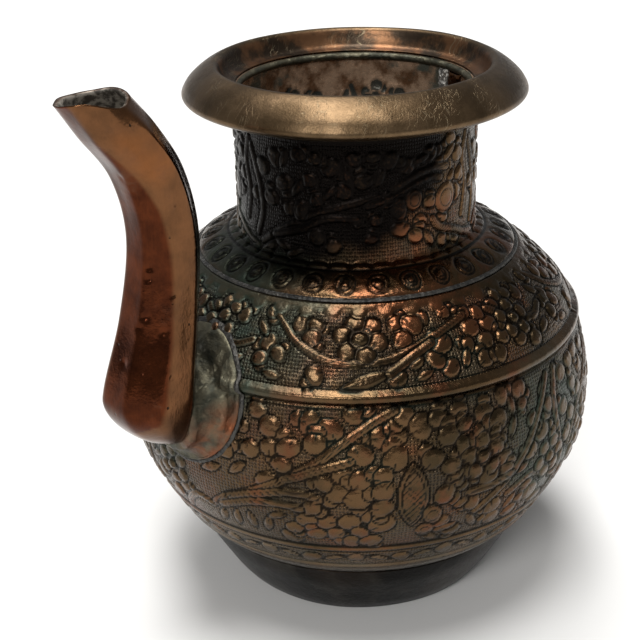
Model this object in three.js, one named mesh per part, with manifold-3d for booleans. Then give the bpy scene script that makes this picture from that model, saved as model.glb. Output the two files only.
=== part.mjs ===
// A spouted copper water jug: foot, bellied body in two halves, neck, heavy rim and side spout.
// Millimetres, +Z up, standing on z = 0 with the centre of its footprint box at the origin.
// The spout reaches out along -X, and the jug is the same on both sides of the XZ plane.

import * as THREE from 'three';
import { mergeVertices } from 'three/addons/utils/BufferGeometryUtils.js';
import Module from 'manifold-3d';

const wasm = await Module();
wasm.setup();

// ---- driving dimensions ----

const WALL = 1.5;                // sheet copper
const GAP = 0.3;                 // clearance left at every soldered joint
const FINEST = 0.05;             // edges shorter than this are left out of a cut piece
const SEGMENTS = 48;             // facets around the jug

const BELLY_R = 82;              // widest radius of the body
const BELLY_Z = 70.5;
const FOOT_BOTTOM_R = 47;
const FOOT_TOP_R = 61.5;
const FOOT_TOP_Z = 25;
const FOOT_LAND = 3.4;           // width of the flat edge that the jug stands on
const BOWL_BOTTOM_Z = 15.5;
const BODY_FOOT_R = 64.2;        // body where it meets the foot
const BODY_FOOT_Z = 27.4;
const RIDGE_R = 76.6;            // body where its two halves lap, under the moulded ridge
const RIDGE_Z = 99.3;
const RIDGE_HALF = 2;            // half the height of the ridge
const RIDGE_PROUD = 1.6;
const GROOVE_R = 54.8;           // groove between shoulder and neck piece
const GROOVE_Z = 122.4;
const NECK_R = 41.1;
const NECK_BASE_Z = 127.8;
const NECK_TOP_Z = 179.4;
const LIP_R = 43.5;              // hole in the top of the shoulder, under the neck flange

const RIM_BOTTOM_Z = 174.7;
const RIM_EDGE_R = 57.8;         // sharp outer edge of the rim
const RIM_EDGE_Z = 178.3;
const RIM_CREST_R = 50.8;
const RIM_CREST_Z = 186.7;
const RIM_MOUTH_R = 45.1;
const RIM_MOUTH_Z = 185.9;

const SPOUT_WALL = 1.3;
const SPOUT_SIDES = 8;           // the spout is folded with eight flats
const SPOUT_STEPS = 20;          // sections along the spout above its heel
const HEEL_Z = 79;               // closed rounded bottom of the spout
const HEEL_ROUND = 8;
const SPOUT_TIP_Z = 195.5;
const PORT_Z = 88.9;             // water way from body to spout
const PORT_R = 7.2;
const SADDLE_R = 21.5;           // round plate that carries the spout on the body
const SADDLE_Z = 91.5;
const SADDLE_THICK = 1.3;
const COLLAR_BODY_R = 18.5;      // flared collar between plate and heel
const COLLAR_TUBE_R = 15.8;
const COLLAR_REACH = 91;         // distance of the collar's front edge from the jug's axis
const BEAD = 1.1;                // thickness of the solder beads

const STRAP_ANGLE = -0.33;       // strap inside the neck, radians from +X
const STRAP_WIDE = 8;
const STRAP_THICK = 1.2;
const STRAP_BOTTOM_Z = 131;
const STRAP_TOP_Z = 176.8;
const SEAM_SOLDER_WIDE = 4.6;    // run of solder along one edge of the strap
const SEAM_SOLDER_THICK = 0.8;
const SEAM_SOLDER_BOTTOM_Z = 150;

// ---- materials ----

function metal(color, roughness) {
  return new THREE.MeshStandardMaterial({ color, roughness, metalness: 0.9 });
}

const DARK_COPPER = metal(0x4a3a30, 0.45);
const RED_COPPER = metal(0x7a3415, 0.3);
const BRONZE = metal(0x5f5233, 0.4);
const GREEN_COPPER = metal(0x5a5d4c, 0.55);
const SOLDER = metal(0x77756a, 0.6);

// ---- geometry helpers ----

function at(r, z) {
  return new THREE.Vector2(r, z);
}

// Points along a smooth curve through a few profile points.
function smooth(points, count) {
  return new THREE.SplineCurve(points).getPoints(count);
}

// The same profile moved sideways by a distance, positive towards its left-hand side.
function offset(points, distance) {
  return points.map((point, i) => {
    const before = points[Math.max(i - 1, 0)];
    const after = points[Math.min(i + 1, points.length - 1)];
    const along = after.clone().sub(before).normalize();
    return at(Math.max(point.x - along.y * distance, 0), point.y + along.x * distance);
  });
}

// A body of revolution about +Z from a closed outline, given anticlockwise in (radius, height).
function turned(outline, segments = SEGMENTS) {
  const closed = outline[0].equals(outline.at(-1)) || (outline[0].x === 0 && outline.at(-1).x === 0);
  const points = closed ? outline : [...outline, outline[0]];
  const geometry = new THREE.LatheGeometry(points, segments);
  geometry.rotateX(Math.PI / 2);
  return solid(geometry);
}

// The same about an axis along -X at a given height, with the outline in (radius, reach).
function turnedTowardsSpout(outline, height) {
  const geometry = new THREE.LatheGeometry(outline, SEGMENTS);
  geometry.rotateX(Math.PI / 2);
  geometry.rotateY(-Math.PI / 2);
  geometry.translate(0, 0, height);
  return solid(geometry);
}

// A closed manifold from a three.js geometry.
function solid(geometry) {
  const bare = geometry.clone();
  bare.deleteAttribute('normal');
  bare.deleteAttribute('uv');
  const merged = mergeVertices(bare, 1e-4);
  const mesh = new wasm.Mesh({
    numProp: 3,
    vertProperties: new Float32Array(merged.attributes.position.array),
    triVerts: new Uint32Array(merged.index.array),
  });
  const made = new wasm.Manifold(mesh);
  return made.volume() < 0 ? solid(flipped(geometry)) : made;
}

// The geometry with its faces turned over.
function flipped(geometry) {
  const turnedOver = geometry.index ? geometry.clone() : mergeVertices(geometry.clone());
  const index = turnedOver.index.array;
  for (let i = 0; i < index.length; i += 3) {
    [index[i + 1], index[i + 2]] = [index[i + 2], index[i + 1]];
  }
  return turnedOver;
}

function geometryOf(manifold) {
  const { vertProperties, triVerts } = manifold.getMesh();
  const geometry = new THREE.BufferGeometry();
  geometry.setAttribute('position', new THREE.BufferAttribute(new Float32Array(vertProperties), 3));
  geometry.setIndex(new THREE.BufferAttribute(new Uint32Array(triVerts), 1));
  return geometry;
}

// ---- body profiles ----

const BOWL_CURVE = smooth([
  at(0, BOWL_BOTTOM_Z),
  at(32, BOWL_BOTTOM_Z + 1.8),
  at(52, 21.6),
  at(BODY_FOOT_R, BODY_FOOT_Z),
  at(73.8, 42),
  at(80.2, 56),
  at(BELLY_R, BELLY_Z),
  at(80.6, 84),
  at(77.3, RIDGE_Z - RIDGE_HALF - 0.4),
], 16);

const SHOULDER_CURVE = smooth([
  at(RIDGE_R - 1, RIDGE_Z + RIDGE_HALF + 0.3),
  at(72, 107.8),
  at(63.4, 116.6),
  at(GROOVE_R + 1.6, GROOVE_Z),
], 7);

const NECK_FLANGE = [
  at(GROOVE_R, GROOVE_Z + 0.2),
  at(GROOVE_R, GROOVE_Z + 1.6),
  at(51.6, 126.2),
  at(47, 127.9),
  at(43, 128.3),
  at(NECK_R, NECK_BASE_Z + 1.4),
];

// ---- sub-parts ----

function footRing() {
  const outside = smooth([
    at(FOOT_BOTTOM_R, 0),
    at(50.4, 3.4),
    at(54.6, 11),
    at(FOOT_TOP_R, FOOT_TOP_Z),
  ], 7);
  const inside = offset(outside, WALL).slice(1, -1).reverse();
  const topInside = at(FOOT_TOP_R - WALL, FOOT_TOP_Z - 1.1);
  const land = at(FOOT_BOTTOM_R - FOOT_LAND, 0);
  return turned([land, ...outside, topInside, ...inside, at(land.x, 1.4)]);
}

// A fillet of solder in the corner between foot and bowl, seen from underneath.
function footSolder() {
  return turned([
    at(55.5, 18.6),
    at(57.9, 22.7),
    at(55.4, 22),
  ]);
}

// The bowl, with its top edge set in by one wall so that the shoulder laps over it.
function lowerBowl() {
  const inside = offset(BOWL_CURVE, WALL).reverse();
  const lip = [
    at(75.1, RIDGE_Z - RIDGE_HALF - GAP),
    at(73.8, RIDGE_Z + RIDGE_HALF - 0.4),
    at(73.8 - WALL, RIDGE_Z + RIDGE_HALF - 0.4),
    at(75.1 - WALL, RIDGE_Z - RIDGE_HALF - 0.5),
  ];
  const shell = turned([...BOWL_CURVE, ...lip, ...inside.slice(1, -1), at(0, BOWL_BOTTOM_Z + WALL)]);
  return cleaned(shell.subtract(waterWay()));
}

// The round water way, from inside the body to inside the heel of the spout.
function waterWay() {
  return turnedTowardsSpout([
    at(0, 60),
    at(PORT_R, 60),
    at(PORT_R, 93),
    at(0, 93),
  ], PORT_Z);
}

function upperBody() {
  const skirtZ = RIDGE_Z - RIDGE_HALF;
  const ridge = [
    at(RIDGE_R + 0.6, skirtZ),
    at(RIDGE_R + RIDGE_PROUD, RIDGE_Z - 0.9),
    at(RIDGE_R + RIDGE_PROUD, RIDGE_Z + 0.7),
    at(RIDGE_R + 0.4, RIDGE_Z + RIDGE_HALF - 0.1),
  ];
  const lip = [
    at(GROOVE_R - 0.2, GROOVE_Z - 0.4),
    at(51, 124.4),
    at(46.7, 126),
    at(LIP_R, 126.3),
    at(LIP_R, 124.8),
    at(46.5, 124.5),
    at(50.4, 123),
    at(GROOVE_R - 0.5, GROOVE_Z - 1.8),
  ];
  const inside = offset(SHOULDER_CURVE, WALL).reverse().slice(1, -1);
  const lap = [
    at(74.2, RIDGE_Z + RIDGE_HALF + 0.1),
    at(75.5, RIDGE_Z - RIDGE_HALF + 0.3),
    at(75.5, skirtZ),
  ];
  return turned([...ridge, ...SHOULDER_CURVE, ...lip, ...inside, ...lap]);
}

function neckCollar() {
  const outside = [...NECK_FLANGE, at(NECK_R, 150), at(NECK_R, NECK_TOP_Z)];
  const inside = [
    at(NECK_R - WALL, NECK_TOP_Z),
    at(NECK_R - WALL, 150),
    at(NECK_R - WALL, 126.8),
    at(43, 126.8),
    at(46.8, 126.5),
    at(51, 124.9),
  ];
  return turned([...outside, ...inside]);
}

function neckSolder() {
  return turned([
    at(GROOVE_R + GAP, GROOVE_Z + 0.3),
    at(GROOVE_R + 1.4, GROOVE_Z + 0.5),
    at(GROOVE_R + 1.1, GROOVE_Z + 1.1),
    at(GROOVE_R + GAP, GROOVE_Z + 1.4),
  ]);
}

function rimRing() {
  const top = smooth([
    at(RIM_EDGE_R, RIM_EDGE_Z),
    at(55.4, 183.6),
    at(RIM_CREST_R, RIM_CREST_Z),
    at(RIM_MOUTH_R, RIM_MOUTH_Z),
  ], 7);
  return turned([
    at(NECK_R + GAP, RIM_BOTTOM_Z + 0.8),
    at(54.2, RIM_BOTTOM_Z),
    ...top,
    at(NECK_R - WALL + 0.2, NECK_TOP_Z + 0.8),
    at(NECK_R - WALL + 0.2, NECK_TOP_Z + GAP),
    at(NECK_R + GAP, NECK_TOP_Z + GAP),
  ]);
}

// A bead of solder inside the mouth, under the rim.
function rimSolder() {
  const wall = NECK_R - WALL - GAP;
  return turned([
    at(wall - 1.2, NECK_TOP_Z - 0.8),
    at(wall - 0.8, NECK_TOP_Z - 1.6),
    at(wall, NECK_TOP_Z - 2),
    at(wall, NECK_TOP_Z - 0.2),
  ]);
}

// An upright slice of a thin ring that lies against the inside of the neck.
function liningSlice(angle, wide, thick, bottomZ) {
  const outer = NECK_R - WALL - GAP;
  const half = wide / 2 / outer;
  const shape = new THREE.Shape();
  shape.absarc(0, 0, outer, angle - half, angle + half, false);
  shape.absarc(0, 0, outer - thick, angle + half, angle - half, true);
  const geometry = new THREE.ExtrudeGeometry(shape, {
    depth: STRAP_TOP_Z - bottomZ,
    bevelEnabled: false,
    curveSegments: 6,
  });
  geometry.translate(0, 0, bottomZ);
  return solid(geometry);
}

// The strap behind the neck's upright seam.
function seamStrap() {
  return liningSlice(STRAP_ANGLE, STRAP_WIDE, STRAP_THICK, STRAP_BOTTOM_Z);
}

function seamSolder() {
  const radius = NECK_R - WALL - GAP;
  const beside = (STRAP_WIDE / 2 + GAP + SEAM_SOLDER_WIDE / 2) / radius;
  return liningSlice(STRAP_ANGLE + beside, SEAM_SOLDER_WIDE, SEAM_SOLDER_THICK, SEAM_SOLDER_BOTTOM_Z);
}

// ---- spout ----

// Centre of the spout from the jug's axis (x) at a few heights (z), and half its width (y).
const SPOUT_COURSE = new THREE.CatmullRomCurve3([
  new THREE.Vector3(95.4, 14.5, HEEL_Z + HEEL_ROUND),
  new THREE.Vector3(93.8, 14.1, 100),
  new THREE.Vector3(88, 12, 124),
  new THREE.Vector3(84.6, 10.7, 149),
  new THREE.Vector3(88.6, 10.6, 169),
  new THREE.Vector3(98, 11.3, 184),
  new THREE.Vector3(106, 10.3, SPOUT_TIP_Z),
]);

// Level sections of the spout from heel to tip, each { reach, half, z }, grown sideways by `grow`.
function spoutSections(grow, heelZ, tipZ) {
  const sections = [];
  const heelTop = SPOUT_COURSE.getPoint(0);
  for (const turn of [0, 0.25, 0.5, 0.75]) {
    const angle = turn * Math.PI / 2;
    sections.push({
      reach: heelTop.x,
      half: heelTop.y + grow - HEEL_ROUND * (1 - Math.sin(angle)),
      z: heelZ + HEEL_ROUND * (1 - Math.cos(angle)),
    });
  }
  for (let i = 0; i <= SPOUT_STEPS; i += 1) {
    const point = SPOUT_COURSE.getPoint(i / SPOUT_STEPS);
    const z = i === 0 ? heelZ + HEEL_ROUND : point.z;
    sections.push({ reach: point.x, half: point.y + grow, z });
  }
  sections.at(-1).z = tipZ;
  return sections;
}

// An eight-sided column through level sections, closed at both ends.
function column(sections) {
  const positions = [];
  const index = [];
  const corner = 1 / Math.cos(Math.PI / SPOUT_SIDES);
  for (const { reach, half, z } of sections) {
    for (let side = 0; side < SPOUT_SIDES; side += 1) {
      const angle = (side + 0.5) * 2 * Math.PI / SPOUT_SIDES;
      positions.push(-reach + half * corner * Math.cos(angle), half * corner * Math.sin(angle), z);
    }
  }
  const last = (sections.length - 1) * SPOUT_SIDES;
  for (let ring = 0; ring < last; ring += SPOUT_SIDES) {
    for (let side = 0; side < SPOUT_SIDES; side += 1) {
      const next = (side + 1) % SPOUT_SIDES;
      index.push(ring + side, ring + next, ring + SPOUT_SIDES + next);
      index.push(ring + side, ring + SPOUT_SIDES + next, ring + SPOUT_SIDES + side);
    }
  }
  for (let side = 1; side < SPOUT_SIDES - 1; side += 1) {
    index.push(0, side + 1, side);
    index.push(last, last + side, last + side + 1);
  }
  const geometry = new THREE.BufferGeometry();
  geometry.setAttribute('position', new THREE.Float32BufferAttribute(positions, 3));
  geometry.setIndex(index);
  return solid(geometry);
}

function spoutTube() {
  const outside = column(spoutSections(0, HEEL_Z, SPOUT_TIP_Z));
  const bore = column(spoutSections(-SPOUT_WALL, HEEL_Z + SPOUT_WALL, SPOUT_TIP_Z + 1));
  return cleaned(outside.subtract(bore).subtract(waterWay()));
}

// Everything inside the body's outer surface moved out by a distance.
function bodyEnvelope(distance) {
  const ridge = [
    at(RIDGE_R + 0.6 + distance, RIDGE_Z - RIDGE_HALF - distance),
    at(RIDGE_R + RIDGE_PROUD + distance, RIDGE_Z - 0.9),
    at(RIDGE_R + RIDGE_PROUD + distance, RIDGE_Z + 0.7),
    at(RIDGE_R + 0.4 + distance, RIDGE_Z + RIDGE_HALF),
  ];
  const bowl = offset(BOWL_CURVE.slice(7), -distance);
  const shoulder = offset(SHOULDER_CURVE, -distance);
  return turned([at(0, bowl[0].y), ...bowl, ...ridge, ...shoulder, at(0, shoulder.at(-1).y)]);
}

// A drum along the spout's direction, from inside the body outwards.
function drum(radius, height) {
  return turnedTowardsSpout([
    at(0, 50),
    at(radius, 50),
    at(radius, 86),
    at(0, 86),
  ], height);
}

// The main body of a cut piece, without the slivers and the hair-thin facets that a cut can leave.
function cleaned(manifold) {
  const bodies = manifold.decompose();
  const main = bodies.reduce((best, body) => (body.volume() > best.volume() ? body : best));
  return main.asOriginal().simplify(FINEST);
}

function spoutSaddle() {
  const plate = bodyEnvelope(GAP + SADDLE_THICK).intersect(drum(SADDLE_R, SADDLE_Z));
  const collar = turnedTowardsSpout([
    at(0, 62),
    at(COLLAR_BODY_R, 62),
    at(COLLAR_BODY_R, 76),
    at(COLLAR_BODY_R - 1.6, 84),
    at(COLLAR_TUBE_R, COLLAR_REACH),
    at(0, COLLAR_REACH),
  ], PORT_Z);
  return cleaned(plate.add(collar)
    .subtract(bodyEnvelope(GAP))
    .subtract(column(spoutSections(GAP, HEEL_Z - GAP, SPOUT_TIP_Z)))
    .subtract(waterWay()));
}

function saddleSolder() {
  const ring = drum(SADDLE_R + GAP + BEAD, SADDLE_Z).subtract(drum(SADDLE_R + GAP, SADDLE_Z));
  return cleaned(bodyEnvelope(GAP + BEAD).intersect(ring).subtract(bodyEnvelope(GAP)));
}

// ---- assembly ----

const PIECES = [
  ['foot_ring', footRing(), DARK_COPPER],
  ['foot_solder', footSolder(), SOLDER],
  ['lower_bowl', lowerBowl(), DARK_COPPER],
  ['upper_body', upperBody(), DARK_COPPER],
  ['neck_collar', neckCollar(), DARK_COPPER],
  ['neck_solder', neckSolder(), GREEN_COPPER],
  ['rim_ring', rimRing(), BRONZE],
  ['rim_solder', rimSolder(), SOLDER],
  ['seam_strap', seamStrap(), RED_COPPER],
  ['seam_solder', seamSolder(), SOLDER],
  ['spout_tube', spoutTube(), RED_COPPER],
  ['spout_saddle', spoutSaddle(), GREEN_COPPER],
  ['saddle_solder', saddleSolder(), SOLDER],
];

const jug = new THREE.Group();
for (const [name, manifold, material] of PIECES) {
  const mesh = new THREE.Mesh(geometryOf(manifold), material);
  mesh.name = name;
  jug.add(mesh);
}

// The centre of the footprint box goes to the origin.
const footprint = new THREE.Box3().setFromObject(jug).getCenter(new THREE.Vector3());
jug.position.set(-footprint.x, -footprint.y, 0);

export default jug;
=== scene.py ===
"""A spouted copper water jug, chased all over and darkened by age. Metres, in the frame of the CAD model."""

import math

import bpy
import numpy as np
from mathutils import Matrix, Vector


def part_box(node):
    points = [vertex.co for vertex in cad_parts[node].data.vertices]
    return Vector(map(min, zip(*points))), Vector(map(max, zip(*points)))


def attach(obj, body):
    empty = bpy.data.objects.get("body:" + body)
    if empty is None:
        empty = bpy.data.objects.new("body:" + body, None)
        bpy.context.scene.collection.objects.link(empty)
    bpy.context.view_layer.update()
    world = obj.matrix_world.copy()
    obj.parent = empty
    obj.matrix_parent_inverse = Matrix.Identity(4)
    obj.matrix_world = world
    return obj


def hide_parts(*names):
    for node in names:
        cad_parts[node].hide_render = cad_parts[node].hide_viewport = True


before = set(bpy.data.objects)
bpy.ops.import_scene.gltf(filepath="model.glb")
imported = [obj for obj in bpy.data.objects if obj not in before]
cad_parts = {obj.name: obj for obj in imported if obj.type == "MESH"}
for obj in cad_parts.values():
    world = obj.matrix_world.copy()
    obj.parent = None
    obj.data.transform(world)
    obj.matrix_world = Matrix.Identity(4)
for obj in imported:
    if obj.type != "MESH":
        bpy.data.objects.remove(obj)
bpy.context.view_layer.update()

MM = 0.001
TAU = 2 * math.pi

# ---- where the jug stands and how big it is, from its CAD pieces, in millimetres ----

rim_low, rim_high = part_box("rim_ring")
bowl_low, bowl_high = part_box("lower_bowl")
foot_low, foot_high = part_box("foot_ring")
neck_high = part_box("neck_collar")[1]
spout_low, spout_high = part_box("spout_tube")
saddle_low, saddle_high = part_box("spout_saddle")

AXIS_X = (rim_low.x + rim_high.x) / 2 / MM     # upright axis of the jug
AXIS_Y = (rim_low.y + rim_high.y) / 2 / MM
BELLY_R = (bowl_high.y - bowl_low.y) / 2 / MM
RIM_R = (rim_high.y - rim_low.y) / 2 / MM
RIM_TOP_Z = rim_high.z / MM
NECK_TOP_Z = neck_high.z / MM
FOOT_TOP_R = (foot_high.y - foot_low.y) / 2 / MM
BOWL_TOP_Z = bowl_high.z / MM
TIP_Z = spout_high.z / MM
HEEL_Z = spout_low.z / MM
SADDLE_R = (saddle_high.y - saddle_low.y) / 2 / MM
SADDLE_Z = (saddle_high.z + saddle_low.z) / 2 / MM

WALL = 1.5                   # thickness of the body's sheet
GAP = 0.3                    # left between pieces that touch
NECK_R = 41.1
LINING_R = NECK_R - WALL - GAP   # where pieces inside the neck rest against it

# The side that faces the viewer, in degrees anticlockwise from +X. Angles on the chased bands are
# counted anticlockwise from here.
FRONT_DEG = 226.0

# ---- camera ----

CAMERA_BACK = 451.4          # level distance from the jug's axis to the camera
CAMERA_HEIGHT = 296.9
CAMERA_ASIDE = 13.6          # the camera stands a little to the left of the jug
CAMERA_PITCH = 24.45         # degrees below level
CAMERA_ROLL = -1.54
CAMERA_LENS = 77.36          # on a 36 mm sensor


def add_camera():
    front = math.radians(FRONT_DEG)
    towards = Vector((math.cos(front), math.sin(front), 0))
    right = Vector((-math.sin(front), math.cos(front), 0))
    place = Vector((AXIS_X, AXIS_Y, CAMERA_HEIGHT)) + towards * CAMERA_BACK - right * CAMERA_ASIDE
    data = bpy.data.cameras.new("camera")
    data.lens = CAMERA_LENS
    data.sensor_width = 36
    data.clip_start = 0.01
    camera = bpy.data.objects.new("camera", data)
    bpy.context.scene.collection.objects.link(camera)
    turn = Matrix.Rotation(front + math.pi / 2, 4, "Z")
    pitch = Matrix.Rotation(math.radians(90 - CAMERA_PITCH), 4, "X")
    roll = Matrix.Rotation(math.radians(CAMERA_ROLL), 4, "Z")
    camera.matrix_world = Matrix.Translation(place * MM) @ turn @ pitch @ roll
    bpy.context.scene.camera = camera


# ---- curves and outlines ----


def smooth_curve(knots, per_span=24):
    """Points on a Catmull-Rom curve through the knots, in any number of dimensions."""
    knots = np.array(knots, float)
    ends = np.vstack([2 * knots[0] - knots[1], knots, 2 * knots[-1] - knots[-2]])
    t = np.linspace(0, 1, per_span, endpoint=False)[:, None]
    spans = []
    for a, b, c, d in zip(ends[:-3], ends[1:-2], ends[2:-1], ends[3:]):
        spans.append(0.5 * (2 * b + (c - a) * t + (2 * a - 5 * b + 4 * c - d) * t**2
                            + (3 * b - a - 3 * c + d) * t**3))
    return np.vstack(spans + [knots[-1:]])


class Outline:
    """A curve in the jug's half-plane. Places on it are counted in millimetres from a datum height."""

    def __init__(self, knots, datum_z=None):
        self.points = smooth_curve(knots)
        steps = np.hypot(*np.diff(self.points, axis=0).T)
        self.length = np.concatenate([[0], np.cumsum(steps)])
        if datum_z is not None:
            self.length -= np.interp(datum_z, self.points[:, 1], self.length)
        self.start, self.end = self.length[0], self.length[-1]

    def at(self, v):
        r = np.interp(v, self.length, self.points[:, 0])
        z = np.interp(v, self.length, self.points[:, 1])
        return r, z

    def outward(self, v):
        """Unit normals on the curve's right-hand side, in radius and height."""
        r0, z0 = self.at(np.asarray(v) - 0.4)
        r1, z1 = self.at(np.asarray(v) + 0.4)
        length = np.hypot(r1 - r0, z1 - z0) + 1e-9
        return (z1 - z0) / length, (r0 - r1) / length


def spread(low, high, pitch):
    """Even places from one end to the other, about a pitch apart, with both ends."""
    return np.linspace(low, high, max(int(round(abs(high - low) / pitch)), 1) + 1)


# ---- meshes ----


def mesh_object(name, vertices, quads, triangles=()):
    """A smooth-shaded mesh from vertices in millimetres."""
    mesh = bpy.data.meshes.new(name)
    faces = [tuple(q) for q in np.asarray(quads).tolist()] + [tuple(t) for t in triangles]
    mesh.from_pydata((np.asarray(vertices) * MM).tolist(), [], faces)
    mesh.update()
    mesh.validate()
    mesh.polygons.foreach_set("use_smooth", np.ones(len(mesh.polygons), bool))
    piece = bpy.data.objects.new(name, mesh)
    bpy.context.scene.collection.objects.link(piece)
    return piece


def add_attribute(piece, name, values):
    attribute = piece.data.attributes.new(name, "FLOAT", "POINT")
    attribute.data.foreach_set("value", np.asarray(values, np.float32).ravel())


def grid_faces(rows, columns, close_rows):
    """Quads over a grid that closes around its columns, and around its rows if asked."""
    row = np.arange(rows if close_rows else rows - 1)[:, None]
    column = np.arange(columns)[None, :]
    next_row = (row + 1) % rows
    next_column = (column + 1) % columns
    corners = [row * columns + column, row * columns + next_column,
               next_row * columns + next_column, next_row * columns + column]
    return np.stack([np.broadcast_to(c, (len(row), columns)) for c in corners], -1).reshape(-1, 4)


def pole_fans(rows, columns):
    """Triangles that close a grid onto two vertices listed after it, one beyond each end."""
    last, top = rows * columns, (rows - 1) * columns
    fans = []
    for i in range(columns):
        j = (i + 1) % columns
        fans += [(last, j, i), (last + 1, top + i, top + j)]
    return fans


def wrap_map(piece, columns, u, v):
    """A map in millimetres around and along the piece, cut where the columns start again."""
    layer = piece.data.uv_layers.new(name="around")
    vertex = np.zeros(len(piece.data.loops), np.int32)
    piece.data.loops.foreach_get("vertex_index", vertex)
    starts = np.zeros(len(piece.data.polygons), np.int32)
    totals = np.zeros(len(piece.data.polygons), np.int32)
    piece.data.polygons.foreach_get("loop_start", starts)
    piece.data.polygons.foreach_get("loop_total", totals)
    face = np.repeat(np.arange(len(starts)), totals)
    column = vertex % columns
    highest = np.maximum.reduceat(column, starts)
    around = np.where((highest[face] == columns - 1) & (column == 0), columns, column)
    values = np.stack([around / columns * u, v[vertex // columns % len(v)]], -1)
    layer.data.foreach_set("uv", values.astype(np.float32).ravel())


# ---- chased work: shapes drawn on a band as heights in millimetres ----

GROOVE_WIDE = 0.42           # of the line chased around a raised shape
GROOVE_OUT = 0.3             # how far outside the shape it runs
BOSS_HIGH = 0.55             # how proud of the sheet each kind of shape stands
LEAF_HIGH = 0.55
STEM_HIGH = 0.5
HEM_HIGH = 0.28


class Band:
    """Raised and sunk work on a band of the jug, drawn over one sector and repeated around it."""

    STEP = 0.2

    def __init__(self, repeats, first_deg, low, high, outline):
        self.sector = 360 / repeats
        self.first = first_deg
        self.low = low
        self.v = spread(low, high, self.STEP)
        self.radius = outline.at(self.v)[0]
        widest = self.radius.max()
        self.columns = int(math.radians(self.sector) * widest / self.STEP)
        self.height = np.zeros((len(self.v), self.columns))
        self.sunk = np.zeros_like(self.height)
        self.cover = np.zeros_like(self.height)
        self.source = np.random.default_rng(repeats * 7 + len(self.v))

    def window(self, deg, v, reach):
        """Rows, columns and local millimetres (across, up) of the patch around a place."""
        step = self.v[1] - self.v[0]
        row_low = max(int((v - reach - self.low) / step), 0)
        row_high = min(int((v + reach - self.low) / step) + 2, len(self.v))
        rows = np.arange(row_low, max(row_high, row_low + 1)).clip(0, len(self.v) - 1)
        radius = np.interp(v, self.v, self.radius)
        centre = (deg - self.first) / self.sector * self.columns
        half = reach / radius / math.radians(self.sector) * self.columns
        columns = np.arange(int(centre - half), int(centre + half) + 2)
        around = math.radians(self.sector) / self.columns * (columns - centre)
        across = around[None, :] * self.radius[rows][:, None]
        up = np.repeat((self.v[rows] - v)[:, None], len(columns), 1)
        return np.ix_(rows, columns % self.columns), across, up

    def press(self, place, distance, height, soft, outline=1.0):
        """Raises the inside of a shape, given its signed distance, and chases a line around it."""
        inside = np.clip(-distance / soft, 0, 1)
        dome = height * (1 - (1 - inside) ** 2.4)
        covered = distance < 0
        groove = outline * np.exp(-((distance - GROOVE_OUT) / GROOVE_WIDE) ** 2)
        self.height[place] = np.where(covered, dome, self.height[place] * np.clip(distance / 0.5, 0.25, 1))
        self.sunk[place] = np.where(covered, 0, np.maximum(self.sunk[place], groove))
        self.cover[place] = np.maximum(self.cover[place], np.clip(1.2 - distance / 0.5, 0, 1))

    def chase(self, place, depth):
        """Sinks a line or a pattern, where it is deeper than what is there."""
        self.sunk[place] = np.maximum(self.sunk[place], depth)

    def boss(self, deg, v, radius, tall=1.0, turn=0.0, height=BOSS_HIGH, creased=False):
        """A round or oval pillow, a little uneven as hand work is. `tall` is its length against its width."""
        place, x, y = self.window(deg, v, radius * max(tall, 1) * 1.15 + 1.5)
        c, s = math.cos(math.radians(turn)), math.sin(math.radians(turn))
        across, along = x * c + y * s, (-x * s + y * c) / tall
        angle = np.arctan2(along, across)
        shape = self.source.uniform(-1, 1, 4)
        radius = radius * (1 + 0.10 * shape[0] * np.cos(2 * angle + 3 * shape[1])
                           + 0.06 * shape[2] * np.cos(3 * angle + 3 * shape[3]))
        distance = np.hypot(across, along) - radius
        self.press(place, distance, height * (1 + 0.15 * shape[1]), radius * 0.5)
        if creased:
            turned = angle - 3 * shape[2]
            reach = np.hypot(across, along)
            crease = np.exp(-(reach * np.sin(turned) / 0.4) ** 2) * (np.cos(turned) > 0)
            crease = crease * (distance < -0.3) * (reach > 0.35 * radius)
            self.chase(place, 0.75 * crease)

    def foliage(self, petals, leaves, stems, grown, widened, stem_width):
        """Petals, then leaves over them, then stems over both, with their listed sizes scaled."""
        for deg, v, radius in petals:
            self.petal(deg, v, radius * grown)
        for deg, v, length, width, turn in leaves:
            self.leaf(deg, v, length, width * widened, turn)
        for route in stems:
            self.stem(route, stem_width)

    def petal(self, deg, v, radius):
        """An oval petal, creased and turned at random, over the edge of a smaller one."""
        angle = self.source.uniform(0, TAU)
        aside = math.degrees(radius * 1.15 * math.cos(angle) / np.interp(v, self.v, self.radius))
        self.boss(deg + aside, v + radius * 1.15 * math.sin(angle), radius * 0.78, creased=True)
        self.boss(deg, v, radius, tall=1.14, turn=math.degrees(angle), creased=True)

    def rosette(self, deg, v, petals, reach, petal, centre, turn):
        """A flower of round petals about a raised boss in a ring."""
        radius = np.interp(v, self.v, self.radius)
        for i in range(petals):
            angle = math.radians(turn + i * 360 / petals)
            aside = math.degrees(reach * math.cos(angle) / radius)
            self.boss(deg + aside, v + reach * math.sin(angle), petal, creased=True)
        self.boss(deg, v, centre + 0.9, height=0.12)
        self.boss(deg, v, centre, height=1)

    def leaf(self, deg, v, length, width, turn):
        """A pointed leaf with a vein down its middle."""
        place, x, y = self.window(deg, v, length / 2 + 1.5)
        c, s = math.cos(math.radians(turn)), math.sin(math.radians(turn))
        along, across = x * c + y * s, np.abs(-x * s + y * c)
        a, b = length / 2, width / 2
        arc = (a * a + b * b) / (2 * b)
        distance = np.hypot(along, across + arc - b) - arc
        self.press(place, distance, LEAF_HIGH, b)
        vein = (distance < -0.15) * np.exp(-(across / 0.22) ** 2)
        self.chase(place, 0.7 * vein)

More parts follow.
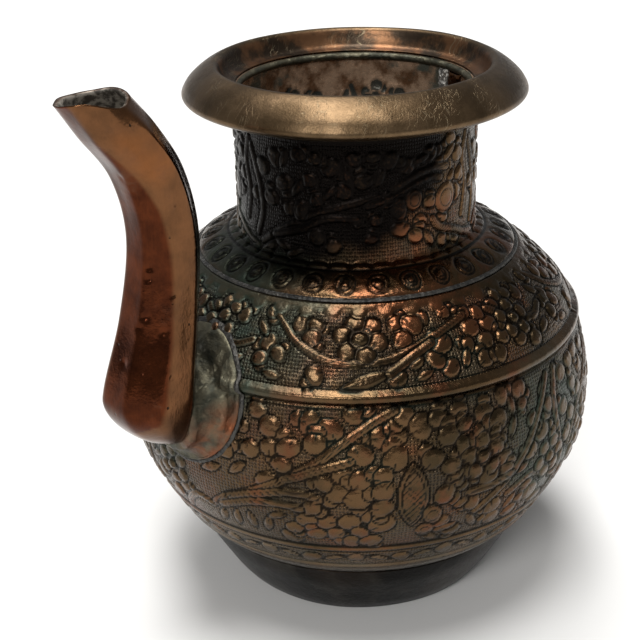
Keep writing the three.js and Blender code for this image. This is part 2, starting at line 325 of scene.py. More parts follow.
    def stem(self, route, width):
        """A raised band along a smooth route, with two chased lines down it."""
        route = smooth_curve(route, 40)
        left, right = route[:, 0].min(), route[:, 0].max()
        middle = ((left + right) / 2, (route[:, 1].min() + route[:, 1].max()) / 2)
        radius = np.interp(middle[1], self.v, self.radius)
        reach = max(math.radians(right - left) * radius * 0.6, np.ptp(route[:, 1]) / 2) + width + 2
        place, x, y = self.window(*middle, reach)
        distance = np.full(x.shape, 99.0)
        for deg, v in route:
            aside = math.radians(deg - middle[0]) * np.interp(v, self.v, self.radius)
            distance = np.minimum(distance, np.hypot(x - aside, y - (v - middle[1])))
        self.press(place, distance - width / 2, STEM_HIGH, width / 2)
        inner = (distance < width / 2) * np.exp(-((distance - width / 6) / 0.2) ** 2)
        self.chase(place, 0.8 * inner)

    def vesica(self, deg, v, length, width):
        """A pointed oval with a double border and a crosshatched field."""
        place, x, y = self.window(deg, v, length / 2 + 2)
        a, b = length / 2, width / 2
        arc = (a * a + b * b) / (2 * b)
        distance = np.hypot(y, np.abs(x) + arc - b) - arc
        self.press(place, distance, 0.5, 0.9, outline=1.2)
        field = distance < -1.1
        border = np.exp(-((distance + 1.1) / 0.28) ** 2)
        hatch = np.maximum(
            np.exp(-(((x + y) / 2.3 + 0.5) % 1 - 0.5) ** 2 / 0.012),
            np.exp(-(((x - y) / 2.3 + 0.5) % 1 - 0.5) ** 2 / 0.012),
        )
        self.chase(place, np.maximum(border, 0.8 * field * hatch))

    def rings(self, deg, v, radius, tall=1.2):
        """An oval boss with a second line inside it."""
        self.boss(deg, v, radius, tall)
        place, x, y = self.window(deg, v, radius * tall + 1)
        distance = np.abs(np.hypot(x, y / tall) - radius * 0.6)
        self.chase(place, 0.8 * np.exp(-(distance / 0.25) ** 2))

    def line(self, v, depth=1.0, wide=0.35):
        """A line chased all the way round."""
        groove = depth * np.exp(-((self.v - v) / wide) ** 2)
        self.sunk = np.maximum(self.sunk, groove[:, None])

    def strand(self, v, width):
        """A raised line all the way round."""
        distance = np.repeat(np.abs(self.v - v)[:, None] - width / 2, self.columns, 1)
        self.press(np.ix_(range(len(self.v)), range(self.columns)), distance, STEM_HIGH, width / 2)

    def plain(self, low, high):
        """Leaves a strip without its matted ground."""
        strip = np.clip((self.v - low) / 0.4, 0, 1) * np.clip((high - self.v) / 0.4, 0, 1)
        self.cover = np.maximum(self.cover, strip[:, None])

    def hem(self, v, count, radius, strip, upwards=False):
        """A raised plain strip beyond a line, with a row of half-round lobes along its edge."""
        pitch = self.sector / count
        deg = (np.arange(self.columns) / self.columns * self.sector) % pitch - pitch / 2
        x = np.radians(deg)[None, :] * self.radius[:, None]
        y = np.repeat((self.v - v)[:, None] * (1 if upwards else -1), self.columns, 1)
        distance = np.maximum(np.minimum(np.hypot(x, y) - radius, y), -y - strip)
        everywhere = np.ix_(range(len(self.v)), range(self.columns))
        self.press(everywhere, distance, HEM_HIGH, radius * 0.5, outline=0.4)

    def sample(self, deg, v, layer):
        """Values of a layer at angles (columns) and places along the outline (rows)."""
        column = ((deg - self.first) / self.sector % 1) * self.columns
        row = (np.asarray(v) - self.low) / (self.v[1] - self.v[0])
        inside = ((row >= 0) & (row <= len(self.v) - 1)).astype(float)
        row = np.clip(row, 0, len(self.v) - 1.001)
        r0, c0 = row.astype(int), column.astype(int)
        fr, fc = (row - r0)[:, None], (column - c0)[None, :]
        c1 = (c0 + 1) % self.columns
        c0 = c0 % self.columns
        top = layer[np.ix_(r0, c0)] * (1 - fc) + layer[np.ix_(r0, c1)] * fc
        low = layer[np.ix_(r0 + 1, c0)] * (1 - fc) + layer[np.ix_(r0 + 1, c1)] * fc
        return (top * (1 - fr) + low * fr) * inside[:, None]


# ---- outlines of the jug's sheets ----

BOWL = Outline([
    (0, 15.5), (32, 17.3), (52, 21.6), (64.2, 27.4), (73.8, 42), (80.2, 56), (BELLY_R, 70.5),
    (80.6, 84), (77.3, 96.9),
], datum_z=44.5)

SHOULDER = Outline([(75.7, 101.6), (72, 107.8), (63.4, 116.6), (56.4, 122.4)], datum_z=101.6)

NECK = Outline(
    [(54.9, 122.5), (55.1, 123.4), (54.2, 124.6), (52, 126.1), (48.8, 127.8), (45.6, 128.9), (43, 129.7),
     (NECK_R + 0.1, 131.8), (NECK_R - 0.3, 145), (NECK_R - 0.2, 160), (NECK_R, NECK_TOP_Z)],
    datum_z=129.2)


# ---- chased design ----

# Places are (degrees from the front, millimetres up the band). Petals add a radius, leaves add a length, a
# width and a turn in degrees, and a stem is a route of places.

LOWER_PETALS = [
    (-25.8, 50.5, 2.6), (-22.5, 46, 3), (-22.2, 39.2, 2.6), (-27, 37.4, 2.6), (-17.8, 39.8, 3.1),
    (-19.3, 33.7, 2.6), (-23.2, 27, 3), (-13, 48.7, 3), (-8.2, 46.8, 3.2), (-11.7, 42, 3),
    (-3, 51.5, 2.6), (-1.5, 38.6, 3.2), (3, 44.4, 2.9), (7, 44.6, 2.5), (8.7, 50.5, 2.8), (12.3, 46.8, 3.4),
    (6.2, 36.8, 3.5), (16.5, 48.3, 2.6), (21.7, 49.4, 2.7), (18.9, 42.4, 3.1), (22.9, 45, 2.1),
    (22.7, 37.4, 3), (27, 41, 2.7), (28, 47, 2.8), (31.8, 43.3, 3), (31.2, 36, 2.8), (14.7, 35.4, 3),
    (33.5, 50.5, 2.4), (39, 50.5, 2.6), (39.3, 45.3, 1.8), (-5.6, 32.4, 2.8), (-1.6, 29.6, 3),
    (-6.9, 25.2, 3), (-10, 28.9, 2.6), (-2.3, 23, 3.3), (3.4, 31, 2.8), (3.4, 25.6, 3), (20, 26.8, 2.7),
    (24.2, 28.7, 2.7), (28.6, 24.8, 3.2), (32.8, 29.4, 2.8), (34, 24.6, 2.5), (19, 32, 2.6), (17.5, 22, 3.1),
    (-9.8, 13.3, 3), (-4.3, 13.6, 3), (-14.3, 13.3, 2.9), (3.1, 12.6, 3.7), (3.2, 19.4, 2.9),
    (-12.8, 18.9, 2.5), (-7.4, 7.2, 2.8), (-1.9, 8.4, 2.5), (-3.8, 3.2, 2.8), (0.6, 3.6, 2.9),
    (-12.2, 6.8, 2.6), (-18.6, 3.6, 2.9), (-17.4, 9, 2.4), (24.7, 15.6, 2.6), (31, 10.2, 3), (32, 4.2, 2.9),
    (41.3, 14.2, 2.5), (43.8, 9.4, 3.5), (41.4, 27.8, 2.8), (45.2, 33, 3.3), (42.5, 38.6, 2.5),
    (48.6, 40.6, 2.7), (50.4, 29.5, 2.6), (48, 3.8, 2.8), (38, 4, 2.6), (17.2, 10, 2.6), (20.6, 4.4, 2.8),
    (55, 36, 2.8), (59, 31, 2.8), (56.5, 25, 3), (61, 41, 2.6), (64.5, 36.2, 2.8), (62.5, 25.6, 2.6),
    (56, 47.5, 2.8), (61.5, 49, 2.6), (67.5, 44, 2.8), (68, 30, 2.6), (66, 50, 2.5), (72.5, 49, 2.6),
    (52.5, 13.5, 2.8), (57.5, 9, 2.6), (62, 14, 2.8), (67, 8, 2.6), (71.5, 13, 2.6), (73.5, 38, 2.7),
    (-31.5, 45, 2.6), (-35, 50.5, 2.6), (-37, 42, 2.8), (-41, 47.5, 2.6), (-33.5, 35, 2.6),
    (-39.5, 33.5, 2.8), (-43.5, 40, 2.6),
]

LOWER_ROSETTES = [           # place, petals, reach, petal radius, boss radius, turn
    (27.2, 32.6, 5, 5.4, 2.6, 2, 20),
    (49, 21, 6, 5.6, 2.7, 2.1, 10),
    (68, 20, 6, 5.4, 2.6, 2, 30),
]

LOWER_STEMS = [
    [(-39.5, 10.5), (-34, 17), (-27.7, 21.4), (-20, 27.4), (-15.3, 32), (-10.6, 36.4), (-6.4, 41.4),
     (-2, 46), (2, 49.6), (6.4, 52.6)],
    [(-19, 28.6), (-15.7, 30.2), (-12, 32.6), (-8.5, 34.4), (-4, 36.4)],
    [(-33, 17.4), (-27.7, 20.4), (-20, 23.6), (-15, 24), (-11, 22.6)],
    [(-36, 12.4), (-29, 16.8), (-24, 18.4), (-19, 18.8), (-15.4, 18)],
    [(26, 11.5), (33, 19), (36.6, 24), (40.2, 30.5), (45.2, 41.4), (49.4, 50.5)],
    [(24, 20.6), (29, 20.4), (35, 22.4)],
    [(35, 14.2), (41.6, 18.4), (46, 16.4)],
    [(53, 3), (55, 16), (52.4, 28), (51, 40), (53, 51)],
    [(69, 2), (72, 8), (76, 12), (80.5, 10.5)],
    [(58, 20), (62, 30.5), (70, 37), (76, 44), (80.6, 51)],
]

LOWER_LEAVES = [
    (-37, 6.6, 8, 2.4, 70), (-32.6, 7.6, 9, 2.4, 80), (-28.4, 8.6, 9, 2.4, 95), (-24, 8.6, 8.5, 2.4, 75),
    (-21.4, 13.6, 7, 2, 20), (18.4, 6.6, 9, 2.6, 12), (14.8, 3, 10, 2.2, -38), (25.6, 6.8, 9, 2.4, -62),
    (36.4, 9.6, 8, 2.4, 60), (21.6, 17, 6, 2.2, 30), (38.6, 22.6, 7, 2.2, 20), (46.6, 46.6, 9, 2.4, 60),
    (35.8, 39.6, 8, 2.4, 75), (36, 46.5, 7, 2.2, 100), (59, 4, 8, 2.2, 10), (72.6, 27, 9, 2.4, 40),
    (60.6, 19.6, 7, 2.2, 30), (-30.4, 29.6, 8, 2.4, 40), (-38, 26.6, 9, 2.4, 20), (0.6, 52.2, 5, 1.6, 30),
]

UPPER_PETALS = [
    (-18.3, 20.8, 2.7), (-13.9, 20.6, 2.4), (-14.6, 16.4, 2.7), (9.5, 21.4, 2.6), (13.9, 20.4, 3.1),
    (10.3, 15.6, 2.8), (24.4, 23.2, 2.2), (-12.5, 4.6, 2.7), (7.7, 3.4, 2.6), (21.5, 4.2, 2.6),
    (-26, 13, 2.9), (-22.7, 10, 2.4), (-27.4, 7.8, 2.3), (12.7, 8.6, 2.5), (18, 7.8, 2.7), (20.8, 12.4, 2.9),
    (30.8, 15.4, 2.8), (37, 15, 2.7), (28, 10.2, 2.2), (33.5, 10, 2.5), (39.3, 9.6, 2.4), (35, 19.6, 2.2),
    (30.6, 20.8, 2), (31.4, 4.4, 2.5), (36.4, 4.6, 2.4), (45.5, 23, 2.4), (44.6, 6.6, 2.4), (53.3, 20.4, 2.5),
    (-27.5, 23.6, 2.2), (50, 4, 2.5), (41.5, 20, 2.2), (49, 22, 2),
]

UPPER_STEMS = [
    [(-25.6, 23), (-22.4, 19.4), (-19.6, 16), (-15.4, 12.6), (-10.4, 9.8), (-5, 8.6), (0, 8.6),
     (4.8, 9.4), (10, 11), (15.3, 13.4), (20, 15.8), (24.6, 18), (29.6, 20)],
    [(6, 5), (9, 7.4), (12, 9.8), (15.5, 12), (18, 13.4)],
    [(39, 19.6), (43.6, 16), (48, 12.4), (54, 10.6), (59, 13)],
]

UPPER_LEAVES = [
    (0.2, 3, 17, 3, 17), (26.4, 18.6, 9, 2.4, 22), (-23.5, 3.4, 7, 2.2, -10), (14.5, 3.4, 6, 1.8, 20),
    (26.2, 6.2, 6, 2, 70), (41.6, 13.6, 7, 2.2, 40), (46.8, 17.4, 7, 2.2, -35), (55.6, 6, 7, 2.2, 25),
    (-29, 17.8, 7, 2, -50), (50.5, 15, 6, 2, 20),
]

NECK_PETALS = [
    (-7.7, 27, 2.9), (1.8, 30.2, 2.9), (21.7, 33.8, 2.6), (-13, 35, 3.2), (13.7, 36.4, 2.8), (7.3, 16.8, 2),
    (4.8, 10.7, 1.9), (-1.2, 15.8, 1.4), (18.7, 13, 2.8), (28.7, 14.8, 2.2), (26.2, 10, 2.5),
    (41.6, 14.2, 2.2), (41.6, 6.4, 2.3), (-12.4, 8.2, 2.5), (-36, 28, 3), (-44, 22, 2.8),
    (-49, 32, 3), (-41, 36, 2.8),
    (-33, 19.6, 2.4), (-23, 30, 2.6), (33.6, 37, 2.6), (40, 32.6, 2.2), (52, 34, 2.8), (34, 20.6, 2.2),
    (51, 21, 2.8), (54.6, 27, 2.6), (50.5, 6, 2.4), (-54, 22, 2.5), (-20.5, 37.4, 2.2), (46.5, 40, 2.2),
    (-2.5, 37.6, 2.4), (6, 38, 2.2), (-28.4, 38, 2.4), (13, 22.4, 2), (-19.6, 23.6, 2.2),
]

NECK_OVALS = [               # place, radius, length against width
    (18.2, 20, 2.7, 1.35), (25.5, 22.4, 2.8, 1.3), (43.6, 20.6, 4.6, 1.05), (-27.9, 19.6, 2.5, 1.4),
    (-20, 11, 3.2, 0.85),
]

NECK_STEMS = [
    [(-50, 6), (-40, 11), (-30, 15.4), (-20, 19.2), (-10, 21.4), (0, 23.4), (8, 24.8)],
    [(-42, 9.6), (-27, 13.2), (-18, 16.8), (-10, 17.8), (-1, 17.4)],
    [(3.8, 21.8), (13.7, 24), (22.7, 26.8), (32.7, 28.8), (39.6, 28)],
    [(15.7, 27), (24.7, 30.2), (34.6, 31.8), (43.6, 31.2)],
    [(35.6, 14.6), (39.6, 11), (49.6, 8.2), (58.5, 5.4), (66, 4)],
    [(-58, 38), (-52, 27), (-50, 17), (-54, 8)],
    [(57, 12), (60, 22), (57, 32), (60, 40)],
]

NECK_LEAVES = [
    (-46, 4.4, 9, 3, 35), (-37, 6.4, 7, 2.6, -20), (-31, 4.8, 7, 2.4, 25), (-14, 26, 7, 2.4, 50),
    (-29, 27, 8, 2.6, 60), (9, 31, 7, 2.4, 70), (29, 35.6, 7, 2.2, 20), (45.5, 35.6, 8, 2.4, 40),
    (33.6, 8, 7, 2.4, -60), (-5.6, 32.6, 7, 2.2, 100), (47, 27, 6, 2, 60), (-36, 36, 7, 2.2, 70),
]


def draw_lower_band():
    band = Band(3, -45, -19, 55, BOWL)
    band.foliage(LOWER_PETALS, LOWER_LEAVES, LOWER_STEMS, 1.08, 1.25, 2.7)
    for flower in LOWER_ROSETTES:
        band.rosette(*flower)
    band.vesica(10.1, 22.8, 24.6, 9.8)
    band.rings(14.8, 14.4, 3.2)
    band.rings(13.4, 7.6, 2.8, 1.1)
    for i in range(10):
        band.boss(-39 + i * 12, -8.6 + 0.8 * (i % 2), 2.7 + 0.3 * (i % 3), 0.8)
        band.leaf(-33 + i * 12, -8.4, 8, 2.2, 20 - 40 * (i % 2))
    band.strand(-2.2, 2.2)
    band.strand(-14.6, 1.8)
    band.plain(-20, -15)
    band.plain(53.4, 56)
    band.line(0.2, 1.1)
    band.line(-4.4, 0.8)
    band.line(53.6, 0.9)
    return band


def draw_upper_band():
    band = Band(4, -30, -1, 29, SHOULDER)
    band.foliage(UPPER_PETALS, UPPER_LEAVES, UPPER_STEMS, 1.04, 1.35, 2.6)
    band.rosette(-1.2, 16.8, 6, 5.5, 3.1, 2.3, 48)
    band.rosette(46, 13.4, 5, 4.8, 2.3, 1.8, 10)
    band.hem(26.2, 11, 2.6, 5)
    band.plain(-2, 0.5)
    band.line(0.6, 0.9)
    return band


def draw_neck_band():
    band = Band(3, -60, -17, 51, NECK)
    band.foliage(NECK_PETALS, NECK_LEAVES, NECK_STEMS, 1, 1.2, 2.4)
    for deg, v, radius, tall in NECK_OVALS:
        band.rings(deg, v, radius, tall)
    band.hem(0.6, 13, 3.1, 0.9, upwards=True)
    for i in range(10):
        band.boss(-54 + i * 12, -6.6, 2.9, 1.25, height=0.35)
        band.boss(-54 + i * 12, -6.8, 1.7, 1.2, height=0.7)
        band.boss(-54 + i * 12, -6.8, 0.8, 1.2, height=0.25)
    band.plain(-18, -0.2)
    band.line(-0.3, 1.2, 0.5)
    band.plain(42, 52)
    return band


# ---- pieces of sheet turned about the jug's axis ----


def wobble(deg, v, seed, size, waves=5):
    """Gentle unevenness from hand work: a few seeded waves over angle and height."""
    source = np.random.default_rng(seed)
    total = np.zeros((len(v), len(deg)))
    for _ in range(waves):
        turns = source.integers(2, 9)
        rise = source.uniform(0.02, 0.12)
        phase = source.uniform(0, TAU, 2)
        total += np.sin(np.radians(deg)[None, :] * turns + phase[0]) * np.sin(v[:, None] * rise + phase[1])
    return size * total / math.sqrt(waves)


SUNK_DEPTH = 0.38            # depth of a chased line


def worked_height(band, deg, v):
    if band is None:
        return np.zeros((len(v), len(deg)))
    return band.sample(deg, v, band.height) - SUNK_DEPTH * band.sample(deg, v, band.sunk)


def turned_sheet(name, outline, rows, rest, columns, band, seed, uneven, inner_rows=(), outer_rest=0):
    """A closed sheet turned about the axis: worked outer rows, then the plain rest of its section.

    The rest can start with inner rows that show the work from behind, and its last `outer_rest` rows
    are on the outside again.
    """
    deg = np.arange(columns) * 360 / columns
    theta = np.radians(deg)
    r, z = outline.at(rows)
    out_r, out_z = outline.outward(rows)
    fade = np.clip(np.minimum(rows - rows[0], rows[-1] - rows) / 2, 0, 1)[:, None]
    facing = deg - FRONT_DEG
    worked = worked_height(band, facing, rows)
    raised = worked + wobble(facing, rows, seed, uneven) * fade
    radius = r[:, None] + out_r[:, None] * raised
    height = z[:, None] + out_z[:, None] * raised
    rest = np.array(rest, float).reshape(-1, 2)
    rest_radius = np.repeat(rest[:, :1], columns, 1)
    rest_height = np.repeat(rest[:, 1:], columns, 1)
    if len(inner_rows):
        ir, iz = outline.at(inner_rows)
        nr, nz = outline.outward(inner_rows)
        inner_work = worked_height(band, facing, inner_rows) * 0.8 - WALL
        rest_radius[: len(inner_rows)] = ir[:, None] + nr[:, None] * inner_work
        rest_height[: len(inner_rows)] = iz[:, None] + nz[:, None] * inner_work
    radius = np.vstack([radius, rest_radius])
    height = np.vstack([height, rest_height])
    poles = radius[0].max() < 1e-6
    if poles:
        radius, height = radius[1:-1], height[1:-1]
        foot_z, floor_z = z[0], rest[-1, 1]
    x = AXIS_X + radius * np.cos(theta)
    y = AXIS_Y + radius * np.sin(theta)
    vertices = np.stack([x, y, height], -1).reshape(-1, 3)
    count = radius.shape[0]
    quads = grid_faces(count, columns, close_rows=not poles)
    fans = []
    if poles:
        vertices = np.vstack([vertices, [[AXIS_X, AXIS_Y, foot_z], [AXIS_X, AXIS_Y, floor_z]]])
        fans = pole_fans(count, columns)
    piece = mesh_object(name, vertices, quads, fans)
    v_all = np.concatenate([rows, np.full(len(rest), rows[-1])])
    if poles:
        v_all = v_all[1:-1]
    wrap_map(piece, columns, TAU * r.max(), v_all)

    def layer(values, beyond, pressed=None):
        full = np.vstack([values, np.full((len(rest), columns), float(beyond))])
        if pressed is not None:
            full[len(rows):len(rows) + len(pressed)] = pressed
        if poles:
            full = np.append(full[1:-1].ravel(), [beyond, beyond])
        return full.ravel()

    zero = np.zeros((len(rows), columns))
    if band is None:
        raised_layer, sunk_layer, ground_layer = zero, zero, zero
    else:
        reach = ((rows >= band.v[0]) & (rows <= band.v[-1]))[:, None]
        raised_layer = band.sample(facing, rows, band.height)
        sunk_layer = band.sample(facing, rows, band.sunk)
        ground_layer = (1 - band.sample(facing, rows, band.cover)) * reach
    pressed = band.sample(facing, inner_rows, band.height) if len(inner_rows) else None
    add_attribute(piece, "raised", layer(raised_layer, 0, pressed))
    add_attribute(piece, "sunk", layer(sunk_layer, 0))
    add_attribute(piece, "ground", layer(ground_layer, 0))
    inside = layer(zero, 1)
    if outer_rest:
        inside[-outer_rest * columns:] = 0
    add_attribute(piece, "inside", inside)
    return piece


def offset_points(outline, places, distance):
    """Points on the inner side of an outline, in order."""
    r, z = outline.at(places)
    nr, nz = outline.outward(places)
    return np.stack([np.maximum(r - nr * distance, 0), z - nz * distance], -1)


def add_lower_bowl():
    rows = np.concatenate([spread(BOWL.start, -22, 6)[:-1], spread(-22, -16, 1)[:-1],
                           spread(-16, BOWL.end, 0.72)])
    lip = [(75.1, 97), (73.8, BOWL_TOP_Z), (72.3, BOWL_TOP_Z), (73.6, 96.8)]
    inner = offset_points(BOWL, spread(BOWL.start, BOWL.end - 1, 9)[::-1], WALL)
    inner[-1] = (0, 15.5 + WALL)
    return turned_sheet("lower_bowl", BOWL, rows, np.vstack([lip, inner]), 740, draw_lower_band(), 11, 0.12)


def add_upper_body():
    rows = spread(SHOULDER.start, SHOULDER.end, 0.55)
    lip = [(54.6, 122), (51, 124.4), (46.7, 126), (43.5, 126.3), (43.5, 124.8), (46.5, 124.5), (50.4, 123),
           (54.3, 120.6)]
    inner = offset_points(SHOULDER, spread(SHOULDER.start + 1, SHOULDER.end - 1, 7)[::-1], WALL)
    lap = [(74.2, 101.4), (75.5, 97.6), (75.5, 97.3)]
    ridge = [(77.1, 97.3)]
    for turn in np.linspace(-75, 75, 9):
        angle = math.radians(turn)
        ridge.append((76.9 + 1.1 * math.cos(angle), 99.3 + 1.5 * math.sin(angle)))
    rest = np.vstack([lip, inner, lap, ridge])
    return turned_sheet("upper_body", SHOULDER, rows, rest, 840, draw_upper_band(), 12, 0.1,
                        outer_rest=len(ridge))


def add_neck_collar():
    rows = np.concatenate([spread(NECK.start, -0.5, 0.6)[:-1], spread(-0.5, 42, 0.45)[:-1],
                           spread(42, NECK.end, 1.2)])
    inner_rows = spread(16, NECK.end - 0.2, 1)[::-1]
    inner = offset_points(NECK, inner_rows, WALL)
    wall = NECK_R - WALL
    base = [(wall, 140), (wall, 127.4), (43, 126.8), (46.8, 126.5), (51, 124.9), (54, 122.9)]
    rest = np.vstack([inner, base])
    return turned_sheet("neck_collar", NECK, rows, rest, 560, draw_neck_band(), 13, 0.12,
                        inner_rows=inner_rows)


def add_rim_ring():
    outline = Outline([
        (54.2, 174.7), (56.7, 175.9), (57.6, 176.7), (RIM_R, 177.7), (57.3, 178.9), (56, 180.9),
        (53.6, 183.2), (51, 185.1), (48.9, 186.2), (47.2, RIM_TOP_Z), (45.9, 186.3), (45.2, 185.3),
        (44.4, 183.2), (43.2, 181.2), (41.8, 180.4), (39.8, 180.1),
    ])
    rows = spread(outline.start, outline.end, 0.5)
    rest = [(39.8, 179.75), (41.4, 179.75), (41.4, 175.5), (47, 175.1)]
    return turned_sheet("rim_ring", outline, rows, rest, 480, None, 21, 0.09)


def add_foot_ring():
    outline = Outline([(46.6, 0), (47.7, 0.5), (48.7, 1.7), (51, 4.9), (54.9, 11.6), (58.8, 18.6),
                       (FOOT_TOP_R, 25)])
    rows = spread(outline.start, outline.end, 0.6)
    rest = [(60.2, 24.1)] + [tuple(p) for p in offset_points(outline, spread(4, 24, 3)[::-1], WALL)]
    rest += [(43.6, 1.4), (43.6, 0)]
    return turned_sheet("foot_ring", outline, rows, rest, 480, None, 22, 0.12)


def add_rim_solder():
    outline = Outline([(LINING_R - 0.2, 176.8), (LINING_R - 1.3, 177.6), (LINING_R - 1.2, 178.8),
                       (LINING_R, 179.4)])
    rows = spread(outline.start, outline.end, 0.4)
    return turned_sheet("rim_solder", outline, rows, [(LINING_R, 178)], 360, None, 23, 0.35)


# ---- spout ----

SPOUT_WALL = 1.3
SPOUT_COLUMNS = 176
HEEL_TOP_Z = 99             # below this the spout bends in towards the body and closes
HEEL_TURN = 11               # how far it bends in
HEEL_TAPER = 9.5             # how much narrower its half width gets
HEEL_POWER = 1.6             # 2 would round the heel, and 1 would cut its corner straight
SPOUT_COURSE = smooth_curve([      # (distance from the jug's axis, half width, height)
    (95.2, 14.5, HEEL_Z), (94.2, 14.3, HEEL_TOP_Z), (88, 12, 124), (84.6, 10.7, 149),
    (88.6, 10.6, 169), (98, 11.3, 184), (106, 10.3, TIP_Z),
])

# The spout's front and left flats are painted darker than the rest, as painted shade: how far round it
# reaches, at a few heights.
SPOUT_SHADE_Z = [84, 93, 100, 118, 140, 160, 172, 184, 195]
SPOUT_SHADE_DEG = [-80, 18, 27, 26, 20, 10, -8, -24, -30]

SPOUT_PITS = [                     # (degrees from the front, height, radius, depth)
    (-16, 142, 0.9, 0.5), (-17, 138.6, 0.8, 0.4), (23, 133.6, 0.9, 0.4), (-16, 127, 0.9, 0.5),
    (-24, 123.6, 0.9, 0.4), (12, 122.2, 0.8, 0.4), (4, 151, 0.7, 0.3), (-40, 112, 1.1, 0.4),
    (30, 108, 1, 0.3), (-8, 97, 1.4, 0.3), (40, 160, 0.9, 0.3), (-30, 171, 1.1, 0.3),
    (150, 140, 1.2, 0.4), (200, 118, 1.4, 0.4),
    (120, 104, 1.2, 0.4), (-90, 132, 1.1, 0.4),
]


def folded_section(phi, sharp):
    """Radius of an eight-sided section with softened corners, for a half width of one."""
    flats = np.arange(8) * TAU / 8
    facing = np.maximum(np.cos(phi[None, :] - flats[:, None]), 0)
    return 1 / np.sum(facing[None] ** sharp[:, None, None], axis=1) ** (1 / sharp[:, None])


def from_front(phi):
    """Degrees from the front, within half a turn either way."""
    return (np.degrees(phi) - FRONT_DEG + 180) % 360 - 180


def spout_surface(heights, shrink, phi):
    """Points of the spout's surface on level sections, moved in by a distance."""
    reach = np.interp(heights, SPOUT_COURSE[:, 2], SPOUT_COURSE[:, 0])
    half = np.interp(heights, SPOUT_COURSE[:, 2], SPOUT_COURSE[:, 1])
    drop = np.clip((HEEL_TOP_Z - heights) / (HEEL_TOP_Z - HEEL_Z - 1.5 * shrink), 0, 1)
    bend = 1 - (1 - drop**HEEL_POWER) ** (1 / HEEL_POWER)
    reach = reach - HEEL_TURN * bend
    half = half - shrink - (HEEL_TAPER - shrink) * bend
    sharp = np.interp(heights, [HEEL_Z, 92, 104, 150, TIP_Z - 12, TIP_Z], [12, 18, 46, 44, 26, 12])
    radius = half[:, None] * folded_section(phi, sharp)
    height = np.repeat(heights[:, None], len(phi), 1)
    facing = from_front(phi)
    for deg, z, wide, deep in SPOUT_PITS:
        aside = np.radians((facing[None, :] - deg + 180) % 360 - 180) * radius
        radius = radius - deep * np.exp(-((aside / wide) ** 2) - ((height - z) / wide) ** 2)
    radius = radius + wobble(facing, heights, 31, 0.1, 8)
    near_tip = np.clip((heights - TIP_Z + 14) / 14, 0, 1)[:, None] ** 2
    lip = 0.9 * np.sin(2 * phi + 0.6) + 0.5 * np.sin(3 * phi + 2) - 0.4
    height = height + near_tip * lip[None, :]
    radius = radius * (1 + 0.035 * near_tip * np.sin(2 * phi + 2.2)[None, :])
    x = AXIS_X - reach[:, None] + radius * np.cos(phi)
    y = AXIS_Y + radius * np.sin(phi)
    return np.stack([x, y, height], -1)


def add_spout_tube():
    phi = np.arange(SPOUT_COLUMNS) * TAU / SPOUT_COLUMNS
    heel = HEEL_Z + (HEEL_TOP_Z - HEEL_Z) * (1 - np.cos(np.linspace(0.01, 1, 30) * math.pi / 2))
    outside = np.concatenate([heel[:-1], spread(heel[-1], TIP_Z, 0.7)])
    inside = np.concatenate([spread(TIP_Z - 0.4, 100, 1.2), spread(96, HEEL_Z + 3, 2)])
    surface = np.vstack([spout_surface(outside, 0, phi), spout_surface(inside, SPOUT_WALL, phi)])
    count = len(surface)
    poles = [surface[0].mean(axis=0), surface[-1].mean(axis=0)]
    vertices = np.vstack([surface.reshape(-1, 3), poles])
    quads = grid_faces(count, SPOUT_COLUMNS, False)
    piece = mesh_object("spout_tube", vertices, quads, pole_fans(count, SPOUT_COLUMNS))
    within = np.zeros((count, SPOUT_COLUMNS))
    within[len(outside):] = 1
    add_attribute(piece, "inside", np.append(within.ravel(), [0, 1]))
    facing = from_front(phi)
    height = surface[:, :, 2]
    # Painted shade: the front and left flats, up to an angle that changes with height, and the far side are
    # marked to be coloured darker.
    edge = np.interp(height, SPOUT_SHADE_Z, SPOUT_SHADE_DEG)
    shade = np.clip((edge - facing[None, :]) / 7 + 0.5, 0, 1) * np.clip((facing[None, :] + 75) / 12, 0, 1)
    far_side = np.clip((np.abs(facing[None, :] - 150) - 40) / -12 + 0.5, 0, 1) * 0.8
    add_attribute(piece, "shade", np.append(np.maximum(shade, far_side).ravel(), [0, 0]))
    return piece


# ---- saddle that carries the spout ----

COLLAR_BODY_R = 18.5
COLLAR_TUBE_R = 13.6
COLLAR_REACH = 87.5
COLLAR_Z = 88.9
PLATE_THICK = 1.3
SADDLE_COLUMNS = 200

RIDGE_PROUD = Outline([(76.8, 97), (78.1, 98.2), (78.3, 99.4), (77.6, 100.8), (75.9, 101.8)])


def body_reach(y, z):
    """How far the body's surface is from the axis along the spout's direction."""
    below = BOWL.points[BOWL.points[:, 1] > 40]
    outline = np.vstack([below[below[:, 1] < 96.8], RIDGE_PROUD.points, SHOULDER.points[8:]])
    radius = np.interp(z, outline[:, 1], outline[:, 0])
    return np.sqrt(np.maximum(radius**2 - y**2, 1))


def saddle_ring(phi, radius, centre_z, lift=None, reach=None):
    """One closed row of the saddle, lifted off the body or at a fixed distance from the axis."""
    y = radius * np.cos(phi)
    z = centre_z + radius * np.sin(phi)
    out = body_reach(y, z) + lift if reach is None else reach
    return np.stack([AXIS_X - out * np.ones_like(phi), AXIS_Y + y, z], -1)


